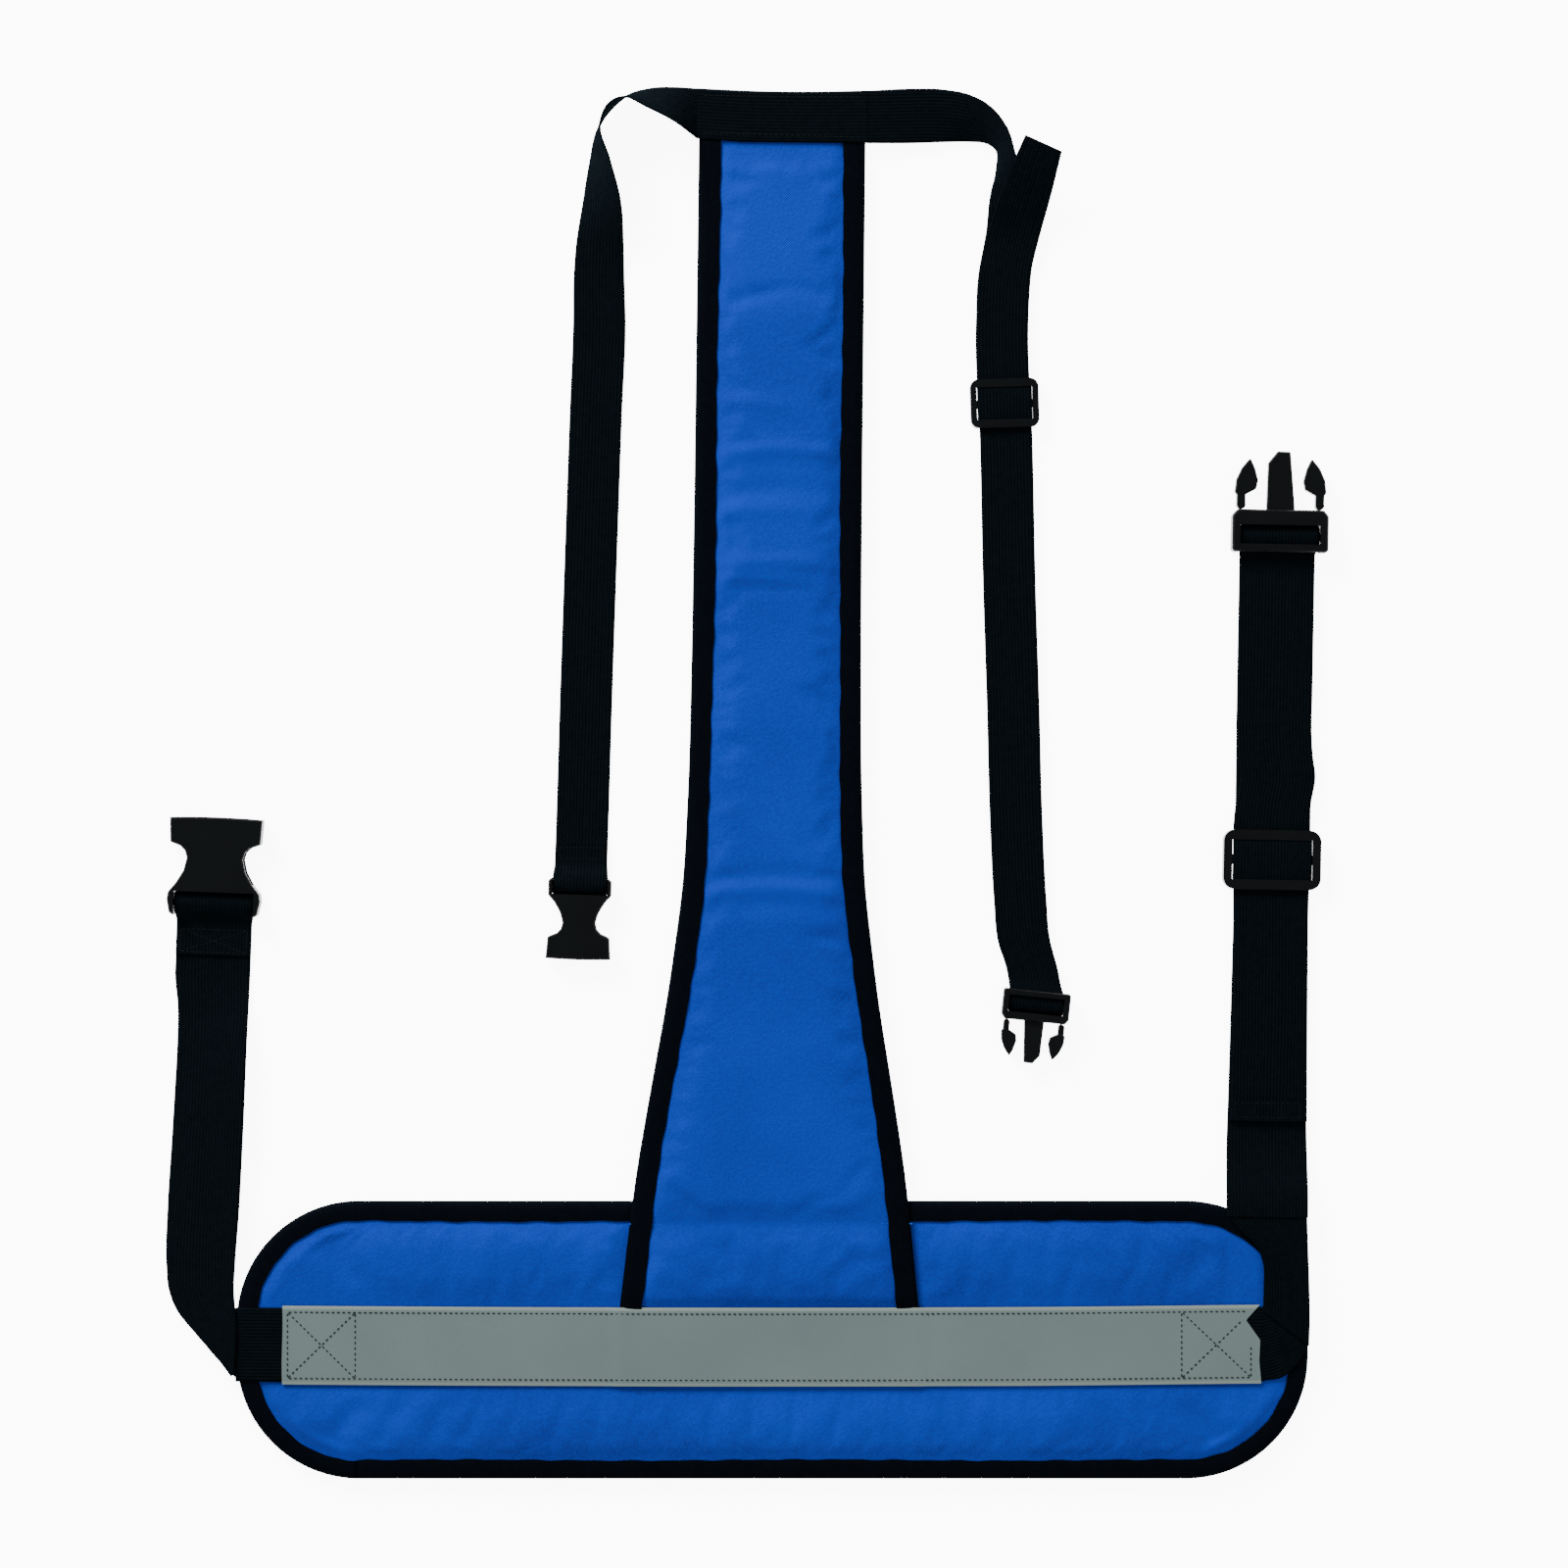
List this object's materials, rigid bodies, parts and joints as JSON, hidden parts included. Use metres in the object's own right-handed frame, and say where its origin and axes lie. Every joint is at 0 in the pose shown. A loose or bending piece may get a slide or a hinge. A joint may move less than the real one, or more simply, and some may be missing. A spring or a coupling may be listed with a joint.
{
  "type": "gait belt",
  "caption": "Padded patient harness belt: wide waist pad, long padded stem, neck strap, sliders and side-release buckles.",
  "frame": {"origin": "middle of the waist pad's back face, which lies on the floor", "axes": "+X along the waist pad to the wearer's plug end, +Y up the stem towards the neck strap, +Z away from the wearer, out of the pad's front"},
  "size_m": [0.7396, 0.8859, 0.0341],
  "materials": {
    "blue_cloth": "woven nylon, soft sheen",
    "foam": "closed-cell foam",
    "binding": "grosgrain tape",
    "webbing": "nylon webbing, ribbed",
    "reflective": "grey reflective tape",
    "buckle_plastic": "moulded acetal"
  },
  "bodies": {
    "waist_pad": {"waist_pad_back_cover": "blue_cloth", "waist_pad_core": "foam", "waist_pad_front_cover": "blue_cloth", "waist_pad_binding": "binding", "stem_tongue": "blue_cloth", "stem_tongue_binding_left": "binding", "stem_tongue_binding_right": "binding", "waist_webbing": "webbing", "reflective_tape": "reflective", "waist_strap_right_corner": "webbing", "waist_strap_left_fold": "webbing"},
    "stem": {"stem_back_cover": "blue_cloth", "stem_core": "foam", "stem_front_cover": "blue_cloth", "stem_binding_left": "binding", "stem_binding_right": "binding", "neck_webbing": "webbing"},
    "left_waist_strap": {"waist_strap_left": "webbing"},
    "left_waist_socket": {"waist_socket": "buckle_plastic", "waist_strap_left_loop": "webbing"},
    "right_waist_strap": {"waist_strap_right": "webbing", "waist_strap_right_tail": "webbing"},
    "right_waist_slider": {"waist_slider": "buckle_plastic"},
    "right_waist_plug": {"waist_plug": "buckle_plastic", "waist_strap_right_loop": "webbing"},
    "right_waist_plug_arm_left": {"waist_plug_arm_left": "buckle_plastic"},
    "right_waist_plug_arm_right": {"waist_plug_arm_right": "buckle_plastic"},
    "left_neck_strap": {"neck_strap_left_turn": "webbing", "neck_strap_left": "webbing"},
    "left_neck_socket": {"neck_socket": "buckle_plastic", "neck_strap_left_loop": "webbing"},
    "right_neck_strap": {"neck_strap_right_turn": "webbing", "neck_strap_right": "webbing", "neck_strap_right_tail": "webbing"},
    "right_neck_slider": {"neck_slider": "buckle_plastic"},
    "right_neck_plug": {"neck_plug": "buckle_plastic", "neck_strap_right_loop": "webbing"},
    "right_neck_plug_arm_left": {"neck_plug_arm_left": "buckle_plastic"},
    "right_neck_plug_arm_right": {"neck_plug_arm_right": "buckle_plastic"}
  },
  "joints": [
    {"name": "stem_fold", "type": "hinge", "parent": "waist_pad", "child": "stem", "pos_m": [-0.0012, 0.0902, 0.0128], "axis": [1, 0, 0], "range_deg": [0, 115]},
    {"name": "left_waist_strap_fold", "type": "hinge", "parent": "waist_pad", "child": "left_waist_strap", "pos_m": [-0.364, 0.045, 0.0118], "axis": [1, 0, 0], "range_deg": [0, 120]},
    {"name": "left_waist_socket_pivot", "type": "hinge", "parent": "left_waist_strap", "child": "left_waist_socket", "pos_m": [-0.35628, 0.24452, 0.0032], "axis": [0.9993, -0.0384, 0], "range_deg": [0, 60]},
    {"name": "right_waist_strap_fold", "type": "hinge", "parent": "waist_pad", "child": "right_waist_strap", "pos_m": [0.314, 0.0892, 0.0116], "axis": [1, 0, 0], "range_deg": [0, 120]},
    {"name": "right_waist_slider_slide", "type": "slide", "parent": "right_waist_strap", "child": "right_waist_slider", "axis": [0.018, 0.9998, 0], "range_m": [-0.13, 0.13]},
    {"name": "right_waist_plug_pivot", "type": "hinge", "parent": "right_waist_strap", "child": "right_waist_plug", "pos_m": [0.32144, 0.4967, 0.0054], "axis": [0.9998, -0.018, 0], "range_deg": [0, 60]},
    {"name": "right_waist_plug_arm_right_flex", "type": "hinge", "parent": "right_waist_plug", "child": "right_waist_plug_arm_right", "pos_m": [0.34806, 0.53053, 0.006], "axis": [0, 0, 1], "range_deg": [0, 8], "stiffness_Nm_per_rad": 1},
    {"name": "right_waist_plug_arm_left_flex", "type": "hinge", "parent": "right_waist_plug", "child": "right_waist_plug_arm_left", "pos_m": [0.29806, 0.53143, 0.006], "axis": [0, 0, 1], "range_deg": [-8, 0], "stiffness_Nm_per_rad": 1},
    {"name": "left_neck_strap_fold", "type": "hinge", "parent": "stem", "child": "left_neck_strap", "pos_m": [-0.0481, 0.779, 0.0088], "axis": [0, 1, 0], "range_deg": [0, 95]},
    {"name": "left_neck_socket_pivot", "type": "hinge", "parent": "left_neck_strap", "child": "left_neck_socket", "pos_m": [-0.12148, 0.31489, 0.0032], "axis": [-0.9996, 0.0297, 0], "range_deg": [0, 60]},
    {"name": "right_neck_strap_fold", "type": "hinge", "parent": "stem", "child": "right_neck_strap", "pos_m": [0.0606, 0.778, 0.0088], "axis": [0, -1, 0], "range_deg": [0, 95]},
    {"name": "right_neck_slider_slide", "type": "slide", "parent": "right_neck_strap", "child": "right_neck_slider", "axis": [0.0317, -0.9995, 0], "range_m": [-0.03, 0.25]},
    {"name": "right_neck_plug_pivot", "type": "hinge", "parent": "right_neck_strap", "child": "right_neck_plug", "pos_m": [0.1695, 0.22922, 0.0054], "axis": [-0.9945, 0.1045, 0], "range_deg": [0, 60]},
    {"name": "right_neck_plug_arm_right_flex", "type": "hinge", "parent": "right_neck_plug", "child": "right_neck_plug_arm_right", "pos_m": [0.14909, 0.20248, 0.0053], "axis": [0, 0, 1], "range_deg": [0, 8], "stiffness_Nm_per_rad": 1},
    {"name": "right_neck_plug_arm_left_flex", "type": "hinge", "parent": "right_neck_plug", "child": "right_neck_plug_arm_left", "pos_m": [0.1839, 0.19882, 0.0053], "axis": [0, 0, 1], "range_deg": [-8, 0], "stiffness_Nm_per_rad": 1}
  ]
}
